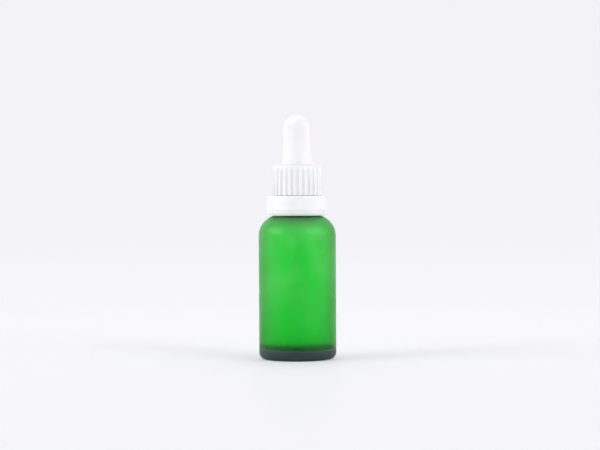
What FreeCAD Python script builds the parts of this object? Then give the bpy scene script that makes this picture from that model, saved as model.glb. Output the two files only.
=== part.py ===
import FreeCAD, Part
import os
import Sketcher

# A 30 ml glass dropper bottle with an 18 mm screw neck: bottle, tamper-evident ring, ribbed
# screw cap, rubber bulb and glass pipette. Millimetres, +Z up along the common axis, origin
# at the centre of the bottle's base. Each piece is drawn in its own frame, with its lowest
# face at z = 0, and is lifted to its seat by its Placement.

LEFT = 1    # an arc that curves to the left along the outline, about a centre on its left
RIGHT = -1  # an arc that curves to the right along the outline

DIMENSIONS = {
    # bottle body
    "body_radius": 16.5, "wall": 2.2, "heel_radius": 3.0, "shoulder_base": 52.75,
    "shoulder_radius": 9.0, "punt_radius": 11.0, "punt_depth": 0.9,
    "floor_edge": 3.8, "floor_crown": 0.5, "inner_heel": 3.5,
    # bottle neck, with its locking bead and its screw thread
    "neck_radius": 8.1, "neck_fillet": 0.9, "bore_radius": 5.6, "bore_corner": 1.2,
    "rim_height": 79.0, "rim_rounding": 0.7, "bead_radius": 10.3, "bead_bottom": 67.1,
    "bead_top": 68.45, "bead_ledge": 9.5, "bead_rounding": 0.3,
    "thread_pitch": 3.0, "thread_turns": 1.5, "thread_start": 72.2,
    "thread_crest": 8.9, "thread_half_width": 0.95, "thread_root_bite": 0.1,
    # tamper-evident ring
    "ring_seat": 61.5, "ring_height": 8.43, "ring_gap": 0.15, "ring_radius": 12.85,
    "ring_top_radius": 12.65, "ring_rounding": 0.5, "ring_wall": 1.25, "ring_plate": 1.2,
    "ring_hole": 9.4, "lip_height": 2.0, "lip_step": 0.22, "lip_radius": 11.95,
    "lip_rounding": 3.0, "lip_hole": 11.2, "lip_chamfer": 0.4, "pawl_radius": 10.0,
    "pawl_bottom": 3.3, "pawl_top": 5.1, "pawl_slope": 1.0, "bridge_count": 12,
    "bridge_width": 0.8, "bridge_height": 0.08, "bridge_inner": 9.6, "bridge_outer": 10.4,
    # screw cap
    "cap_radius": 10.68, "cap_upper_radius": 10.5, "cap_shoulder_drop": 2.3,
    "cap_top_radius": 9.15, "cap_rounding": 1.0, "cap_rounding_end": 14.0,
    "cap_bore": 9.15, "cap_bore_corner": 0.6, "cap_plate": 1.2, "cap_hole": 6.0,
    "cap_thread_crest": 8.35, "cap_thread_half_width": 0.8,
    "rib_count": 28, "groove_floor": 9.9, "groove_radius": 0.15, "rib_rounding": 0.65,
    "rib_crest": 10.62, "groove_phase": 1.1, "groove_clear": 11.5,
    # rubber bulb
    "fit_gap": 0.05, "flange_radius": 7.8, "flange_thickness": 2.6, "flange_rounding": 0.4,
    "collar_radius": 5.92, "foot_radius": 7.3, "foot_rounding": 0.6, "foot_height": 0.6,
    "flare_radius": 6.78, "flare_end_radius": 6.1, "flare_end": 8.05, "flare_rounding": 18.0,
    "waist_radius": 5.75, "waist": 11.55, "dome_radius": 5.7, "dome_base": 19.9,
    "socket_radius": 3.55, "socket_depth": 5.1, "chamber_radius": 4.15,
    "bulb_wall": 1.6,
    # glass pipette
    "tip_height": 9.0, "pipette_top": 86.5, "pipette_radius": 3.5, "pipette_bore": 2.4,
    "tip_radius": 1.25, "tip_bore": 0.55, "tip_straight": 2.0, "tip_taper": 11.0,
    "pipette_bead": 0.45, "pipette_bead_height": 1.4, "fire_polish": 0.15,
}

# Heights and radii worked out from the driving dimensions, as expressions on the sheet.
RING_TOP = "(dim.ring_seat + dim.ring_height)"
CAP_SEAT = "(" + RING_TOP + " + dim.ring_gap)"
BULB_SEAT = "(dim.rim_height + dim.fit_gap)"
CAP_TOP = "(" + BULB_SEAT + " + dim.flange_thickness + dim.fit_gap + dim.cap_plate)"
CAP_HEIGHT = "(" + CAP_TOP + " - " + CAP_SEAT + ")"
PIPETTE_LENGTH = "(dim.pipette_top - dim.tip_height)"
SKIRT_INNER = "(dim.ring_radius - dim.ring_wall)"


def chord_radius(half_chord, rise):
    """Radius of the arc that rises by `rise` over `half_chord` from where it runs level."""
    return "((" + half_chord + ")^2 + (" + rise + ")^2) / (2 * (" + rise + "))"


def make_sheet(doc):
    """Put the driving dimensions in a spreadsheet, one alias a row."""
    sheet = doc.addObject("Spreadsheet::Sheet", "dim")
    for row, (name, value) in enumerate(DIMENSIONS.items(), start=1):
        sheet.set("A%d" % row, name)
        sheet.set("B%d" % row, str(value))
        sheet.setAlias("B%d" % row, name)
    doc.recompute()
    return sheet


def new_body(doc, label, seat=None):
    """Start a body named after its piece, lifted to its seat along the axis."""
    body = doc.addObject("PartDesign::Body", label)
    body.Label = label
    if seat is not None:
        body.setExpression("Placement.Base.z", seat)
    return body


def new_sketch(body, name, role):
    """Attach an empty sketch to one of the body's own origin planes."""
    plane = [item for item in body.Origin.OriginFeatures if item.Role == role][0]
    sketch = body.newObject("Sketcher::SketchObject", name)
    sketch.AttachmentSupport = [(plane, "")]
    sketch.MapMode = "FlatFace"
    return sketch


def arc_between(start, end, radius, turn):
    """The shorter arc from start to end that curves to the side given by turn."""
    chord = end - start
    lift = max(radius ** 2 - (chord.Length / 2) ** 2, 0.0) ** 0.5
    normal = FreeCAD.Vector(-chord.y, chord.x, 0).normalize()
    centre = (start + end) * 0.5 + normal * (lift * turn)
    first, last = (start, end) if turn == LEFT else (end, start)
    axis = FreeCAD.Vector(1, 0, 0)
    circle = Part.Circle(centre, FreeCAD.Vector(0, 0, 1), radius)
    return Part.ArcOfCircle(circle, circle.parameter(first), circle.parameter(last))


def pin_coordinate(sketch, edge, point, kind, text, value):
    """Tie one coordinate of a corner to its expression, or to the sketch axis when it is 0."""
    if text == "0":
        sketch_axis = -2 if kind == "DistanceX" else -1
        sketch.addConstraint(Sketcher.Constraint("PointOnObject", edge, point, sketch_axis))
        return
    index = sketch.addConstraint(Sketcher.Constraint(kind, edge, point, value))
    sketch.setExpression("Constraints[%d]" % index, text)


def draw_outline(sketch, corners):
    """Draw a closed outline whose corners and arc radii follow expressions.

    A corner is (across, up), reached by a straight line, or (across, up, radius, turn),
    reached by an arc. The line or arc to the first corner closes the outline.
    """
    places = []
    for corner in corners:
        across = float(sketch.evalExpression(corner[0]))
        up = float(sketch.evalExpression(corner[1]))
        places.append(FreeCAD.Vector(across, up, 0))
    begins = []
    ends = []
    for number, corner in enumerate(corners):
        start, end = places[number - 1], places[number]
        if len(corner) == 2:
            edge = sketch.addGeometry(Part.LineSegment(start, end), False)
            begins.append((edge, 1))
            ends.append((edge, 2))
            continue
        radius = float(sketch.evalExpression(corner[2]))
        edge = sketch.addGeometry(arc_between(start, end, radius, corner[3]), False)
        begins.append((edge, 1 if corner[3] == LEFT else 2))
        ends.append((edge, 2 if corner[3] == LEFT else 1))
    for number, corner in enumerate(corners):
        following = begins[(number + 1) % len(corners)]
        sketch.addConstraint(Sketcher.Constraint("Coincident", *ends[number], *following))
    for number, corner in enumerate(corners):
        edge, point = ends[number]
        pin_coordinate(sketch, edge, point, "DistanceX", corner[0], places[number].x)
        pin_coordinate(sketch, edge, point, "DistanceY", corner[1], places[number].y)
        if len(corner) == 4:
            radius = float(sketch.evalExpression(corner[2]))
            index = sketch.addConstraint(Sketcher.Constraint("Radius", edge, radius))
            sketch.setExpression("Constraints[%d]" % index, corner[2])


def revolve(body, name, corners):
    """Turn an outline drawn in the XZ plane once round the body's axis."""
    sketch = new_sketch(body, name + "_outline", "XZ_Plane")
    draw_outline(sketch, corners)
    solid = body.newObject("PartDesign::Revolution", name)
    solid.Profile = sketch
    solid.ReferenceAxis = (sketch, ["V_Axis"])
    solid.Angle = 360
    return solid


def add_thread(body, name, corners):
    """Sweep a thread's section, drawn in the XZ plane, up a right-handed helix."""
    sketch = new_sketch(body, name + "_section", "XZ_Plane")
    draw_outline(sketch, corners)
    thread = body.newObject("PartDesign::AdditiveHelix", name)
    thread.Profile = sketch
    thread.ReferenceAxis = (sketch, ["V_Axis"])
    thread.Mode = "pitch-turns-angle"
    thread.setExpression("Pitch", "dim.thread_pitch")
    thread.setExpression("Turns", "dim.thread_turns")
    thread.LeftHanded = False
    thread.Reversed = False
    return thread


def repeat_round(body, name, feature, sketch, count):
    """Repeat a feature evenly round the body's axis."""
    pattern = body.newObject("PartDesign::PolarPattern", name)
    pattern.Originals = [feature]
    pattern.Axis = (sketch, ["N_Axis"])
    pattern.Angle = 360
    pattern.setExpression("Occurrences", count)
    body.Tip = pattern
    return pattern


def make_bottle(doc):
    """Blown glass body with a punt, a round shoulder, a locking bead and a screw neck."""
    body = new_body(doc, "glass_bottle")
    inner_radius = "dim.body_radius - dim.wall"
    inner_shoulder = "dim.shoulder_radius - dim.wall"
    shoulder_centre = "(dim.body_radius - dim.shoulder_radius)"
    fillet_centre = "(dim.neck_radius + dim.neck_fillet)"
    fillet_reach = "(dim.shoulder_radius + dim.neck_fillet)"
    fillet_rise = "sqrt(%s^2 - (%s - %s)^2)" % (fillet_reach, fillet_centre, shoulder_centre)
    fillet_share = "dim.shoulder_radius / " + fillet_reach
    revolve(body, "bottle_wall", [
        ("0", "dim.punt_depth"),
        ("dim.punt_radius", "0", chord_radius("dim.punt_radius", "dim.punt_depth"), RIGHT),
        ("dim.body_radius - dim.heel_radius", "0"),
        ("dim.body_radius", "dim.heel_radius", "dim.heel_radius", LEFT),
        ("dim.body_radius", "dim.shoulder_base"),
        ("%s + (%s - %s) * %s" % (shoulder_centre, fillet_centre, shoulder_centre, fillet_share),
         "dim.shoulder_base + %s * %s" % (fillet_rise, fillet_share), "dim.shoulder_radius", LEFT),
        ("dim.neck_radius", "dim.shoulder_base + " + fillet_rise, "dim.neck_fillet", RIGHT),
        ("dim.neck_radius", "dim.bead_bottom"),
        ("dim.bead_radius - dim.bead_rounding", "dim.bead_bottom"),
        ("dim.bead_radius", "dim.bead_bottom + dim.bead_rounding", "dim.bead_rounding", LEFT),
        ("dim.bead_ledge", "dim.bead_top"),
        ("dim.neck_radius", "dim.bead_top"),
        ("dim.neck_radius", "dim.rim_height - dim.rim_rounding"),
        ("dim.neck_radius - dim.rim_rounding", "dim.rim_height", "dim.rim_rounding", LEFT),
        ("dim.bore_radius + dim.rim_rounding", "dim.rim_height"),
        ("dim.bore_radius", "dim.rim_height - dim.rim_rounding", "dim.rim_rounding", LEFT),
        ("dim.bore_radius", "dim.shoulder_base + %s + dim.bore_corner" % inner_shoulder),
        ("dim.bore_radius + dim.bore_corner", "dim.shoulder_base + " + inner_shoulder,
         "dim.bore_corner", LEFT),
        (shoulder_centre, "dim.shoulder_base + " + inner_shoulder),
        (inner_radius, "dim.shoulder_base", inner_shoulder, RIGHT),
        (inner_radius, "dim.floor_edge + dim.inner_heel"),
        (inner_radius + " - dim.inner_heel", "dim.floor_edge", "dim.inner_heel", RIGHT),
        ("0", "dim.floor_edge + dim.floor_crown",
         chord_radius(inner_radius + " - dim.inner_heel", "dim.floor_crown"), LEFT),
    ])
    root = "dim.neck_radius - dim.thread_root_bite"
    height = "dim.thread_crest - (%s)" % root
    add_thread(body, "neck_thread", [
        (root, "dim.thread_start - dim.thread_half_width"),
        (root, "dim.thread_start + dim.thread_half_width",
         chord_radius("dim.thread_half_width", height), LEFT),
    ])
    return body


def make_ring(doc):
    """Tamper-evident ring: an inverted cup round the bead, with a locking rib under it."""
    body = new_body(doc, "tamper_ring", "dim.ring_seat")
    lip_top = "dim.ring_radius - dim.lip_step"
    revolve(body, "ring_wall", [
        ("dim.lip_hole", "0"),
        ("dim.lip_radius", "0"),
        (lip_top, "dim.lip_height", "dim.lip_rounding", LEFT),
        ("dim.ring_radius", "dim.lip_height + dim.lip_step"),
        ("dim.ring_top_radius", "dim.ring_height - dim.ring_rounding"),
        ("dim.ring_top_radius - dim.ring_rounding", "dim.ring_height",
         "dim.ring_rounding", LEFT),
        ("dim.ring_hole", "dim.ring_height"),
        ("dim.ring_hole", "dim.ring_height - dim.ring_plate"),
        (SKIRT_INNER, "dim.ring_height - dim.ring_plate"),
        (SKIRT_INNER, "dim.pawl_top"),
        ("dim.pawl_radius", "dim.pawl_top"),
        ("dim.pawl_radius", "dim.pawl_top - dim.pawl_slope / 2"),
        (SKIRT_INNER, "dim.pawl_bottom"),
        (SKIRT_INNER, "dim.lip_height + dim.lip_chamfer"),
        ("dim.lip_hole", "dim.lip_height"),
    ])
    sketch = new_sketch(body, "bridge_section", "XY_Plane")
    sketch.setExpression("AttachmentOffset.Base.z", "dim.ring_height - dim.ring_gap")
    draw_outline(sketch, [
        ("dim.bridge_outer", "dim.bridge_width / 2"),
        ("dim.bridge_inner", "dim.bridge_width / 2"),
        ("dim.bridge_inner", "-dim.bridge_width / 2"),
        ("dim.bridge_outer", "-dim.bridge_width / 2"),
    ])
    bridge = body.newObject("PartDesign::Pad", "bridge")
    bridge.Profile = sketch
    bridge.setExpression("Length", "dim.ring_gap + dim.bridge_height")
    repeat_round(body, "bridges", bridge, sketch, "dim.bridge_count")
    return body


def make_cap(doc):
    """Ribbed screw cap with an inside thread and a hole for the bulb in its top plate."""
    body = new_body(doc, "screw_cap", CAP_SEAT)
    top = CAP_HEIGHT
    plate = "%s - dim.cap_plate" % top
    rounding_across = "dim.cap_top_radius + dim.cap_rounding * cos(dim.cap_rounding_end * 1deg)"
    rounding_up = "%s - dim.cap_rounding * (1 - sin(dim.cap_rounding_end * 1deg))" % top
    revolve(body, "cap_wall", [
        ("dim.cap_bore", "0"),
        ("dim.cap_radius", "0"),
        ("dim.cap_upper_radius", "%s - dim.cap_shoulder_drop" % top),
        (rounding_across, rounding_up),
        ("dim.cap_top_radius", top, "dim.cap_rounding", LEFT),
        ("dim.cap_hole", top),
        ("dim.cap_hole", plate),
        ("dim.cap_bore - dim.cap_bore_corner", plate),
        ("dim.cap_bore", "%s - dim.cap_bore_corner" % plate, "dim.cap_bore_corner", RIGHT),
    ])
    # The thread starts on the far side of the axis from the neck's, so it lies half a pitch
    # from it, midway between the neck's turns.
    root = "-(dim.cap_bore + dim.thread_root_bite)"
    start = "dim.thread_start - " + CAP_SEAT
    height = "dim.cap_bore + dim.thread_root_bite - dim.cap_thread_crest"
    add_thread(body, "cap_thread", [
        (root, "%s - dim.cap_thread_half_width" % start),
        (root, "%s + dim.cap_thread_half_width" % start,
         chord_radius("dim.cap_thread_half_width", height), LEFT),
    ])
    cut_grooves(body)
    return body


def cut_grooves(body):
    """Narrow round-bottomed grip grooves between ribs with well-rounded sides."""
    sketch = new_sketch(body, "groove_section", "XY_Plane")
    sketch.setExpression("AttachmentOffset.Rotation.Angle", "dim.groove_phase - 90")
    sketch.AttachmentOffset = FreeCAD.Placement(
        FreeCAD.Vector(), FreeCAD.Rotation(FreeCAD.Vector(0, 0, 1), -90))
    centre = "(dim.groove_floor + dim.groove_radius)"
    rib_centre = "(dim.rib_crest - dim.rib_rounding)"
    reach = "(dim.groove_radius + dim.rib_rounding)"
    spread = "sqrt(%s^2 - (%s - %s)^2)" % (reach, centre, rib_centre)
    share = "dim.groove_radius / " + reach
    touch_out = "%s - (%s - %s) * %s" % (centre, centre, rib_centre, share)
    touch_side = "%s * %s" % (spread, share)
    draw_outline(sketch, [
        ("dim.groove_clear", spread),
        ("dim.rib_crest", spread),
        (touch_out, touch_side, "dim.rib_rounding", LEFT),
        (touch_out, "-" + touch_side, "dim.groove_radius", RIGHT),
        ("dim.rib_crest", "-" + spread, "dim.rib_rounding", LEFT),
        ("dim.groove_clear", "-" + spread),
    ])
    groove = body.newObject("PartDesign::Pocket", "groove")
    groove.Profile = sketch
    groove.Type = "ThroughAll"
    groove.Reversed = True
    repeat_round(body, "grooves", groove, sketch, "dim.rib_count")


def make_bulb(doc):
    """Rubber bulb: sealing flange, collar in the cap's hole, flared wall and round top."""
    body = new_body(doc, "rubber_bulb", BULB_SEAT)
    collar_top = "dim.flange_thickness + dim.cap_plate + 2 * dim.fit_gap"
    chamber_dome = "dim.dome_radius - dim.bulb_wall"
    revolve(body, "bulb_wall", [
        ("dim.socket_radius", "0"),
        ("dim.flange_radius - dim.flange_rounding", "0"),
        ("dim.flange_radius", "dim.flange_rounding", "dim.flange_rounding", LEFT),
        ("dim.flange_radius", "dim.flange_thickness - dim.flange_rounding"),
        ("dim.flange_radius - dim.flange_rounding", "dim.flange_thickness",
         "dim.flange_rounding", LEFT),
        ("dim.collar_radius", "dim.flange_thickness"),
        ("dim.collar_radius", collar_top),
        ("dim.foot_radius", collar_top),
        ("dim.flare_radius", collar_top + " + dim.foot_height", "dim.foot_rounding", RIGHT),
        ("dim.flare_end_radius", "dim.flare_end"),
        ("dim.waist_radius", "dim.waist", "dim.flare_rounding", RIGHT),
        ("dim.dome_radius", "dim.dome_base"),
        ("0", "dim.dome_base + dim.dome_radius", "dim.dome_radius", LEFT),
        ("0", "dim.dome_base + " + chamber_dome),
        (chamber_dome, "dim.dome_base", chamber_dome, RIGHT),
        ("dim.chamber_radius", "dim.socket_depth + dim.chamber_radius - dim.socket_radius"),
        ("dim.socket_radius", "dim.socket_depth"),
    ])
    return body


def make_pipette(doc):
    """Drawn glass tube with a fine tip and a small bead that holds it in the bulb."""
    body = new_body(doc, "glass_pipette", "dim.tip_height")
    top = PIPETTE_LENGTH
    taper_mid = "dim.tip_straight + dim.tip_taper / 2"
    taper_top = "dim.tip_straight + dim.tip_taper"
    outer_mid = "(dim.tip_radius + dim.pipette_radius) / 2"
    inner_mid = "(dim.tip_bore + dim.pipette_bore) / 2"
    outer_bend = chord_radius("dim.tip_taper / 2", "(dim.pipette_radius - dim.tip_radius) / 2")
    inner_bend = chord_radius("dim.tip_taper / 2", "(dim.pipette_bore - dim.tip_bore) / 2")
    revolve(body, "pipette_wall", [
        ("dim.tip_bore", "0"),
        ("dim.tip_radius - dim.fire_polish", "0"),
        ("dim.tip_radius", "dim.fire_polish", "dim.fire_polish", LEFT),
        ("dim.tip_radius", "dim.tip_straight"),
        (outer_mid, taper_mid, outer_bend, RIGHT),
        ("dim.pipette_radius", taper_top, outer_bend, LEFT),
        ("dim.pipette_radius", "%s - dim.fire_polish - dim.pipette_bead_height" % top),
        ("dim.pipette_radius", "%s - dim.fire_polish" % top,
         chord_radius("dim.pipette_bead_height / 2", "dim.pipette_bead"), LEFT),
        ("dim.pipette_radius - dim.fire_polish", top, "dim.fire_polish", LEFT),
        ("dim.pipette_bore + dim.fire_polish", top),
        ("dim.pipette_bore", "%s - dim.fire_polish" % top, "dim.fire_polish", LEFT),
        ("dim.pipette_bore", taper_top),
        (inner_mid, taper_mid, inner_bend, RIGHT),
        ("dim.tip_bore", "dim.tip_straight", inner_bend, LEFT),
    ])
    return body


def check(doc, bodies):
    """Stop unless every object computed and every piece is one valid solid."""
    for item in doc.Objects:
        if "Invalid" in item.State or "Error" in item.State:
            raise RuntimeError("%s failed: %s" % (item.Label, item.State))
    for body in bodies:
        shape = body.Shape
        if shape.isNull() or not shape.isValid() or len(shape.Solids) != 1:
            raise RuntimeError("%s is not one valid solid" % body.Label)


def main():
    doc = FreeCAD.newDocument("dropper_bottle")
    make_sheet(doc)
    makers = [make_bottle, make_ring, make_cap, make_bulb, make_pipette]
    bodies = [maker(doc) for maker in makers]
    doc.recompute()
    check(doc, bodies)
    os.makedirs("parts", exist_ok=True)
    for body in bodies:
        body.Shape.exportStep("parts/%s.step" % body.Label)
        box = body.Shape.optimalBoundingBox()
        print("%-14s %9.1f mm3  z %.2f to %.2f" % (body.Label, body.Shape.Volume, box.ZMin, box.ZMax))


main()
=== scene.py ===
import math

import bmesh
import bpy
from mathutils import Matrix, Vector


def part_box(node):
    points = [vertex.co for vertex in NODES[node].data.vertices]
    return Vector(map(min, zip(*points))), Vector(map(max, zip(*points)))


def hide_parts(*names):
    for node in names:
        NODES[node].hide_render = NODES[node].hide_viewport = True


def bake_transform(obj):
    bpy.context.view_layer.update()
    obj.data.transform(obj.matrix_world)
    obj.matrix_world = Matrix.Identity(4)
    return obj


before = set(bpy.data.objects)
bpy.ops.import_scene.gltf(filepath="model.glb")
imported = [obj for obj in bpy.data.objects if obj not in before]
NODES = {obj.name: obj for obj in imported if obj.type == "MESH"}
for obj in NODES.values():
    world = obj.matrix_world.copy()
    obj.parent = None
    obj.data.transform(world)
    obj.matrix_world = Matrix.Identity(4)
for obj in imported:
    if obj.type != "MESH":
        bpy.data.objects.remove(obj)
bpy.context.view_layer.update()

# Looks and studio for a dropper bottle: frosted green glass, a white ring, cap and bulb, and a
# clear pipette. Everything is in metres, except the bulb's outline, which is in millimetres.

MM = 0.001

# Studio colours, as radiance or as the share of light sent back.
SURROUND = (0.885, 0.88, 0.925)      # what the camera sees all round
FLOOR_GLOW = (0.93, 0.925, 0.965)    # the same for the floor a little away from the object
PAPER = (0.845, 0.845, 0.87)
AMBIENT = 0.36                       # share of the surround that lights the object


# ---------------------------------------------------------------- shader helpers

def new_material(name):
    """A node material with only its output and a Principled shader, joined."""
    material = bpy.data.materials.new(name)
    material.use_nodes = True
    tree = material.node_tree
    tree.nodes.clear()
    output = tree.nodes.new("ShaderNodeOutputMaterial")
    shader = tree.nodes.new("ShaderNodeBsdfPrincipled")
    tree.links.new(shader.outputs["BSDF"], output.inputs["Surface"])
    return material, tree, shader, output


def set_inputs(node, **values):
    """Set sockets by name, with underscores for the spaces."""
    for name, value in values.items():
        node.inputs[name.replace("_", " ")].default_value = value


def noise(tree, feature, detail=3.0, roughness=0.5):
    """Noise whose blobs are about `feature` metres across, fixed to the object."""
    place = tree.nodes.new("ShaderNodeTexCoord")
    texture = tree.nodes.new("ShaderNodeTexNoise")
    set_inputs(texture, Scale=1.0 / feature, Detail=detail, Roughness=roughness)
    tree.links.new(place.outputs["Object"], texture.inputs["Vector"])
    return texture.outputs["Fac"]


def math_node(tree, operation, first, second=None, third=None):
    """One arithmetic step on sockets or numbers."""
    node = tree.nodes.new("ShaderNodeMath")
    node.operation = operation
    for index, value in enumerate((first, second, third)):
        if value is None:
            continue
        if isinstance(value, (int, float)):
            node.inputs[index].default_value = value
        else:
            tree.links.new(value, node.inputs[index])
    return node.outputs[0]


def remap(tree, value, low, high, to_low, to_high, smooth=True):
    """Map a socket's range low..high onto to_low..to_high."""
    node = tree.nodes.new("ShaderNodeMapRange")
    if smooth:
        node.interpolation_type = "SMOOTHSTEP"
    tree.links.new(value, node.inputs["Value"])
    set_inputs(node, **{"From Min": low, "From Max": high, "To Min": to_low, "To Max": to_high})
    return node.outputs["Result"]


def blend_colours(tree, factor, first, second):
    """A colour that goes from first to second as factor goes from 0 to 1."""
    node = tree.nodes.new("ShaderNodeMix")
    node.data_type = "RGBA"
    tree.links.new(factor, node.inputs["Factor"])
    for socket, colour in (("A", first), ("B", second)):
        target = [item for item in node.inputs if item.name == socket and item.type == "RGBA"][0]
        if isinstance(colour, tuple):
            target.default_value = (*colour, 1.0)
        else:
            tree.links.new(colour, target)
    return [item for item in node.outputs if item.type == "RGBA"][0]


def mix_shaders(tree, share, first, second):
    """A surface that is `share` of second and the rest of first."""
    node = tree.nodes.new("ShaderNodeMixShader")
    if isinstance(share, float):
        node.inputs[0].default_value = share
    else:
        tree.links.new(share, node.inputs[0])
    tree.links.new(first, node.inputs[1])
    tree.links.new(second, node.inputs[2])
    return node.outputs[0]


def bump(tree, shader, layers):
    """Chain bump layers of (height socket, depth in metres, strength) into the shader."""
    normal = None
    for height, depth, strength in layers:
        node = tree.nodes.new("ShaderNodeBump")
        set_inputs(node, Strength=strength, Distance=depth)
        tree.links.new(height, node.inputs["Height"])
        if normal is not None:
            tree.links.new(normal, node.inputs["Normal"])
        normal = node.outputs["Normal"]
    tree.links.new(normal, shader.inputs["Normal"])


def absorb(tree, output, colour, density):
    """Fill the solid with glass that soaks up light along its path."""
    volume = tree.nodes.new("ShaderNodeVolumeAbsorption")
    set_inputs(volume, Color=(*colour, 1.0), Density=density)
    tree.links.new(volume.outputs["Volume"], output.inputs["Volume"])


def place_sockets(tree):
    """Sockets for the X, Y and Z of the shaded point."""
    place = tree.nodes.new("ShaderNodeTexCoord")
    split = tree.nodes.new("ShaderNodeSeparateXYZ")
    tree.links.new(place.outputs["Object"], split.inputs[0])
    return split.outputs["X"], split.outputs["Y"], split.outputs["Z"]


def axis_distance(tree, across, along):
    """A socket for the distance from the bottle's axis."""
    across_squared = math_node(tree, "MULTIPLY", across, across)
    along_squared = math_node(tree, "MULTIPLY", along, along)
    return math_node(tree, "SQRT", math_node(tree, "ADD", across_squared, along_squared))


# ---------------------------------------------------------------- materials

def glass_colour_and_base_shade(tree, height, above_base_shade):
    """Cloudy clear glass, deeper towards the foot, and painted shade in the thick base: a dark
    charcoal colour in place of the dark that the thick glass refracts and soaks up.
    """
    cloud = remap(tree, noise(tree, 0.016), 0.3, 0.7, 0.0, 1.0)
    body = blend_colours(tree, cloud, (0.86, 0.965, 0.86), (0.95, 0.985, 0.95))
    rise = remap(tree, height, 0.006, 0.045, 0.0, 1.0)
    body = blend_colours(tree, rise, (0.8, 0.88, 0.8), body)
    # Painted shade: the thick base is coloured dark charcoal for the dark that it refracts and
    # soaks up.
    return blend_colours(tree, above_base_shade, (0.09, 0.06, 0.12), body)


def glass_haze_and_painted_light(tree, height, above_base_shade, grain):
    """The share of the skin that scatters light: etched haze on the wall, painted shade in the
    thick base and a painted highlight on the shoulder.
    """
    wall_haze, base_shade_haze, shoulder_highlight_haze = 0.032, 0.33, 0.018
    cloud = remap(tree, noise(tree, 0.017), 0.35, 0.65, 0.45, 1.55)
    speckle = remap(tree, grain, 0.35, 0.65, 0.45, 1.55)
    patches = math_node(tree, "MULTIPLY", cloud, speckle)
    wall = remap(tree, height, 0.008, 0.028, 0.0, wall_haze)
    wall = math_node(tree, "MULTIPLY", wall, patches)
    # Painted shade: the thick base scatters a third of its light, in its painted dark colour.
    base = remap(tree, above_base_shade, 0.0, 1.0, base_shade_haze, 0.0, smooth=False)
    # Painted highlight: a band of extra haze on the shoulder stands in for the soft boxes' pale
    # highlights there.
    shoulder = remap(tree, height, 0.044, 0.056, 0.0, shoulder_highlight_haze)
    return math_node(tree, "ADD", math_node(tree, "ADD", wall, base), shoulder)


def frosted_green_glass():
    """Etched green bottle glass: colour by absorption, a satin outer skin, painted shade in the
    thick base and a painted highlight on the shoulder.
    """
    material, tree, shader, output = new_material("frosted_green_glass")
    set_inputs(shader, **{"IOR": 1.52, "Specular Tint": (0.42, 1.0, 0.56, 1.0)})
    height = place_sockets(tree)[2]
    # Mask of the painted shade in the thick base, 0 in the base and 1 above, with a slightly
    # wavering top edge.
    waver = math_node(tree, "MULTIPLY_ADD", noise(tree, 0.012), 0.0004, height)
    above_base_shade = remap(tree, waver, 0.0043, 0.0049, 0.0, 1.0)
    tree.links.new(glass_colour_and_base_shade(tree, height, above_base_shade), shader.inputs["Base Color"])
    grain = noise(tree, 0.00045, detail=2.0)
    # The scattering share carries painted light: shade in the thick base and a highlight band on
    # the shoulder.
    scatter_with_painted_light = glass_haze_and_painted_light(tree, height, above_base_shade, grain)
    tree.links.new(math_node(tree, "SUBTRACT", 1.0, scatter_with_painted_light), shader.inputs["Transmission Weight"])
    tree.links.new(remap(tree, grain, 0.3, 0.7, 0.36, 0.46), shader.inputs["Roughness"])
    bump(tree, shader, [(noise(tree, 0.006, detail=1.0), 0.00012, 0.35), (grain, 0.00002, 0.5)])
    absorb(tree, output, (0.0, 0.975, 0.46), 1500.0)
    return material


def white_plastic():
    """Satin moulded polypropylene, slightly translucent, with a fine moulding grain."""
    material, tree, shader, _ = new_material("white_plastic")
    set_inputs(shader, **{"Subsurface Weight": 0.1, "Subsurface Scale": 0.0004, "IOR": 1.49})
    tone = remap(tree, noise(tree, 0.007), 0.3, 0.7, 0.0, 1.0)
    colour = blend_colours(tree, tone, (0.865, 0.865, 0.877), (0.89, 0.89, 0.897))
    tree.links.new(colour, shader.inputs["Base Color"])
    grain = noise(tree, 0.00022, detail=2.0)
    tree.links.new(remap(tree, grain, 0.3, 0.7, 0.34, 0.46), shader.inputs["Roughness"])
    sink = noise(tree, 0.004, detail=1.0)
    bump(tree, shader, [(sink, 0.00004, 0.3), (grain, 0.00001, 0.4)])
    return material


def white_rubber():
    """Matte white rubber with a soft bloom and a faint pebbled skin."""
    material, tree, shader, _ = new_material("white_rubber")
    set_inputs(shader, **{"Subsurface Weight": 0.2, "Subsurface Scale": 0.0008, "IOR": 1.5,
                          "Sheen Weight": 0.08, "Sheen Roughness": 0.5})
    bloom = remap(tree, noise(tree, 0.005), 0.3, 0.7, 0.0, 1.0)
    colour = blend_colours(tree, bloom, (0.86, 0.855, 0.87), (0.885, 0.88, 0.89))
    tree.links.new(colour, shader.inputs["Base Color"])
    skin = noise(tree, 0.0003, detail=2.0)
    tree.links.new(remap(tree, skin, 0.3, 0.7, 0.5, 0.64), shader.inputs["Roughness"])
    bump(tree, shader, [(noise(tree, 0.003, detail=1.0), 0.00005, 0.3), (skin, 0.000015, 0.4)])
    return material


def drawn_streaks(tree):
    """Noise stretched along the tube, as drawing the glass leaves it."""
    place = tree.nodes.new("ShaderNodeTexCoord")
    stretch = tree.nodes.new("ShaderNodeVectorMath")
    stretch.operation = "MULTIPLY"
    stretch.inputs[1].default_value = (1.0, 1.0, 0.03)
    streaks = tree.nodes.new("ShaderNodeTexNoise")
    set_inputs(streaks, Scale=450.0, Detail=2.0)
    tree.links.new(place.outputs["Object"], stretch.inputs[0])
    tree.links.new(stretch.outputs[0], streaks.inputs["Vector"])
    return streaks.outputs["Fac"]


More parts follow.
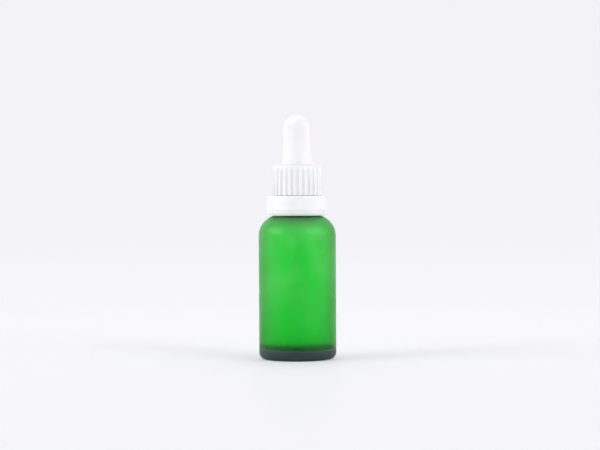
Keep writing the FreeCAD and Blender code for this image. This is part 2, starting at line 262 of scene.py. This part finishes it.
def clear_glass():
    """Drawn clear glass tube, with faint streaks along its length."""
    material, tree, shader, output = new_material("clear_glass")
    set_inputs(shader, **{"Base Color": (0.97, 0.995, 0.985, 1.0), "IOR": 1.5,
                          "Transmission Weight": 1.0})
    streaks = drawn_streaks(tree)
    tree.links.new(remap(tree, streaks, 0.3, 0.7, 0.01, 0.05), shader.inputs["Roughness"])
    bump(tree, shader, [(streaks, 0.00002, 0.08)])
    absorb(tree, output, (0.6, 0.72, 0.7), 120.0)
    return material


def dress(node, material):
    """Give a CAD node its material."""
    NODES[node].data.materials.clear()
    NODES[node].data.materials.append(material)


def dress_nodes():
    """Materials for the four CAD nodes that show."""
    plastic = white_plastic()
    dress("glass_bottle", frosted_green_glass())
    dress("tamper_ring", plastic)
    dress("screw_cap", plastic)
    dress("glass_pipette", clear_glass())


# ---------------------------------------------------------------- rubber bulb

def arc_points(centre, radius, start, end, steps):
    """Points (across, up) along an arc, angles in degrees from the across direction."""
    points = []
    for step in range(steps + 1):
        angle = math.radians(start + (end - start) * step / steps)
        across = centre[0] + radius * math.cos(angle)
        points.append((across, centre[1] + radius * math.sin(angle)))
    return points


def run_to(points, end, steps):
    """Add evenly spaced points from the last one up to and including end."""
    start = points[-1]
    for step in range(1, steps + 1):
        share = step / steps
        points.append((start[0] + (end[0] - start[0]) * share,
                       start[1] + (end[1] - start[1]) * share))


def flange_outline(socket, collar, foot_base):
    """From the mouth, under and round the sealing flange, up the collar in the cap's hole."""
    radius, top, edge = 7.8, 2.6, 0.3
    points = [(socket, 0.0)]
    run_to(points, (radius - edge, 0.0), 6)
    points += arc_points((radius - edge, edge), edge, -80, 0, 4)
    run_to(points, (radius, top - edge), 5)
    points += arc_points((radius - edge, top - edge), edge, 10, 90, 4)
    run_to(points, (collar, top), 4)
    run_to(points, (collar, foot_base), 5)
    return points


def foot_outline(points, foot_base):
    """Out along the flared foot that sits on the cap, and up its hollow curve to the wall."""
    rim, rim_edge = 7.22, 0.08
    hollow_centre, hollow_radius = (7.46, 4.62), 0.68
    flare_start, flare_end = (6.1, 8.05), (5.75, 11.55)
    run_to(points, (rim, foot_base), 4)
    points += arc_points((rim, foot_base + rim_edge), rim_edge, -60, 20, 3)
    points += arc_points(hollow_centre, hollow_radius, 258, 184, 7)
    run_to(points, flare_start, 12)
    steps = 10
    for step in range(1, steps + 1):
        share = step / steps
        ease = 1 - (1 - share) ** 2
        points.append((flare_start[0] + (flare_end[0] - flare_start[0]) * ease,
                       flare_start[1] + (flare_end[1] - flare_start[1]) * share))


def bulb_outline(height):
    """The bulb's cross-section in mm, from the mouth round the outside and back up inside."""
    socket, socket_top, collar, foot_base = 3.55, 5.1, 5.92, 3.9
    chamber, chamber_base = 4.15, 5.9
    dome, wall = 5.7, 1.6
    dome_base = height - dome
    outer = flange_outline(socket, collar, foot_base)
    foot_outline(outer, foot_base)
    run_to(outer, (dome, dome_base), 26)
    outer += arc_points((0.0, dome_base), dome, 4, 86, 20)
    outer.append((0.0, height))
    inner = [(0.0, height - wall)]
    inner += arc_points((0.0, dome_base), dome - wall, 84, 6, 14)
    run_to(inner, (chamber, dome_base), 2)
    run_to(inner, (chamber, chamber_base), 34)
    run_to(inner, (socket, socket_top), 4)
    run_to(inner, (socket, 0.0), 8)
    return outer + inner[:-1]


def lathe(name, outline, base, around=112):
    """A closed turned mesh from (across, up) points in mm; points on the axis are single."""
    mesh = bmesh.new()
    turns = [2 * math.pi * step / around for step in range(around)]
    rings = []
    for across, up in outline:
        lift = base + up * MM
        if across == 0.0:
            rings.append([mesh.verts.new((0.0, 0.0, lift))])
            continue
        radius = across * MM
        rings.append([mesh.verts.new((radius * math.cos(turn), radius * math.sin(turn), lift))
                      for turn in turns])
    for near, far in zip(rings, rings[1:] + rings[:1]):
        if len(near) == 1 and len(far) == 1:
            continue
        for step in range(around):
            after = (step + 1) % around
            corners = [near[step % len(near)], near[after % len(near)],
                       far[after % len(far)], far[step % len(far)]]
            unique = [vert for index, vert in enumerate(corners) if vert not in corners[:index]]
            mesh.faces.new(unique).smooth = True
    bmesh.ops.recalc_face_normals(mesh, faces=mesh.faces)
    return add_object(name, mesh)


def add_object(name, mesh):
    """Put a bmesh in the scene as an object, and free it."""
    data = bpy.data.meshes.new(name)
    mesh.to_mesh(data)
    mesh.free()
    added = bpy.data.objects.new(name, data)
    bpy.context.collection.objects.link(added)
    return added


def smooth_step(value, low, high):
    """0 below low, 1 above high and a smooth rise between them."""
    share = min(max((value - low) / (high - low), 0.0), 1.0)
    return share * share * (3 - 2 * share)


def set_pinch(piece, low, high):
    """Work out a dent share for each vertex, most at mid height and none at the foot; it is not
    applied, so the bulb keeps its turned shape.
    """
    dent_low, dent_middle, dent_high = 0.24, 0.56, 0.95     # shares of the bulb's height
    for vert in piece.data.vertices:
        share = (vert.co.z - low) / (high - low)
        dent = smooth_step(share, dent_low, dent_middle)
        dent *= 1.0 - smooth_step(share, dent_middle, dent_high)


def make_bulb():
    """The soft bulb: a turned rubber wall between cap and dome."""
    low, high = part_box("rubber_bulb")
    piece = lathe("bulb_skin", bulb_outline((high.z - low.z) / MM), low.z)
    piece.data.materials.append(white_rubber())
    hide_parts("rubber_bulb")
    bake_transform(piece)
    set_pinch(piece, low.z, high.z)


# ---------------------------------------------------------------- studio

def seen_directly(tree):
    """1 for rays from the camera, straight or through glass, and 0 for the light on things."""
    path = tree.nodes.new("ShaderNodeLightPath")
    through_glass = path.outputs["Is Transmission Ray"]
    return math_node(tree, "MAXIMUM", path.outputs["Is Camera Ray"], through_glass)


def studio_paper():
    """Pale paper with a faint gloss, fading into the even studio surround away from the object."""
    material, tree, shader, output = new_material("studio_paper")
    gloss_share, gloss_roughness = 0.08, 0.35
    near_fade, fade_start, fade_end = 0.3, 0.07, 0.5      # a share, then metres
    set_inputs(shader, **{"Base Color": (*PAPER, 1.0), "Roughness": 1.0,
                          "Specular IOR Level": 0.0})
    gloss = tree.nodes.new("ShaderNodeBsdfGlossy")
    set_inputs(gloss, Roughness=gloss_roughness)
    paper = mix_shaders(tree, gloss_share, shader.outputs["BSDF"], gloss.outputs["BSDF"])
    across, along, height = place_sockets(tree)
    radius = axis_distance(tree, across, along)
    away = math_node(tree, "ADD", radius, height)
    far = remap(tree, away, fade_start, fade_end, near_fade, 1.0)
    surround = tree.nodes.new("ShaderNodeEmission")
    rise = remap(tree, radius, 0.2, 2.4, 0.0, 1.0)
    tree.links.new(blend_colours(tree, rise, FLOOR_GLOW, SURROUND), surround.inputs["Color"])
    fade = math_node(tree, "MULTIPLY", far, seen_directly(tree))
    surface = mix_shaders(tree, fade, paper, surround.outputs["Emission"])
    tree.links.new(surface, output.inputs["Surface"])
    return material


def make_stage():
    """A seamless pale sweep: floor, a wide round bend and a wall behind the object."""
    half_width, front, bend_start, bend_radius, wall_top = 8.0, -8.0, 1.2, 0.8, 6.0
    under_base = 0.00002     # the floor lies this far below the base, so that they don't flicker
    outline = [(front, 0.0), (bend_start, 0.0)]
    steps = 24
    for step in range(1, steps + 1):
        turn = math.pi / 2 * step / steps
        outline.append((bend_start + bend_radius * math.sin(turn),
                        bend_radius * (1 - math.cos(turn))))
    outline.append((bend_start + bend_radius, wall_top))
    mesh = bmesh.new()
    rows = [[mesh.verts.new((side * half_width, y, z - under_base)) for side in (-1, 1)]
            for y, z in outline]
    for near, far in zip(rows, rows[1:]):
        mesh.faces.new((near[0], near[1], far[1], far[0])).smooth = True
    sweep = add_object("studio_sweep", mesh)
    sweep.data.materials.append(studio_paper())


def area_light(name, place, target, width, height, power):
    """A soft box at place, aimed at target."""
    data = bpy.data.lights.new(name, "AREA")
    data.shape = "RECTANGLE"
    data.size, data.size_y = width, height
    data.energy = power
    lamp = bpy.data.objects.new(name, data)
    lamp.location = place
    aim = Vector(target) - Vector(place)
    lamp.rotation_mode = "QUATERNION"
    lamp.rotation_quaternion = aim.to_track_quat("-Z", "Y")
    bpy.context.collection.objects.link(lamp)


def make_lights():
    """Side boxes for the edges, front boxes for the fill, one overhead, one on the backdrop."""
    middle, foot, backdrop = (0.0, 0.0, 0.07), (0.0, 0.0, 0.0), (0.0, 2.0, 0.5)
    area_light("side_box_left", (-1.7, -0.1, 0.6), middle, 0.8, 1.0, 7.4)
    area_light("side_box_right", (1.7, -0.2, 0.6), middle, 0.8, 1.0, 7.4)
    area_light("front_box_left", (-1.6, -0.84, 0.95), middle, 0.72, 0.9, 14.4)
    area_light("front_box_right", (1.28, -1.28, 0.95), middle, 0.72, 0.9, 14.4)
    area_light("soft_box_top", (0.0, 0.0, 2.6), foot, 2.4, 2.4, 11.6)
    area_light("backdrop_light", (0.0, 0.7, 1.6), backdrop, 2.0, 0.6, 17.0)


def make_world():
    """Even ambient light; seen directly it is the pale studio surround."""
    world = bpy.data.worlds.new("studio")
    world.use_nodes = True
    tree = world.node_tree
    tree.nodes.clear()
    output = tree.nodes.new("ShaderNodeOutputWorld")
    glow = tree.nodes.new("ShaderNodeBackground")
    set_inputs(glow, Color=(*SURROUND, 1.0))
    strength = remap(tree, seen_directly(tree), 0.0, 1.0, AMBIENT, 1.0, smooth=False)
    tree.links.new(strength, glow.inputs["Strength"])
    tree.links.new(glow.outputs[0], output.inputs["Surface"])
    bpy.context.scene.world = world


def make_camera():
    """A long lens almost level with the cap, tilted slightly down."""
    distance, height = 0.877, 0.075
    tilt, yaw, roll = math.radians(1.153), math.radians(-0.079), math.radians(-0.3)
    data = bpy.data.cameras.new("camera")
    data.lens, data.sensor_width = 123.0, 36.0
    data.clip_start, data.clip_end = 0.05, 20.0
    camera = bpy.data.objects.new("camera", data)
    turn = (Matrix.Rotation(yaw, 4, "Z") @ Matrix.Rotation(math.pi / 2 - tilt, 4, "X")
            @ Matrix.Rotation(roll, 4, "Z"))
    camera.matrix_world = Matrix.Translation((0.0, -distance, height)) @ turn
    bpy.context.collection.objects.link(camera)
    bpy.context.scene.camera = camera


dress_nodes()
make_bulb()
make_stage()
make_lights()
make_world()
make_camera()
bpy.context.scene.view_settings.view_transform = "Standard"
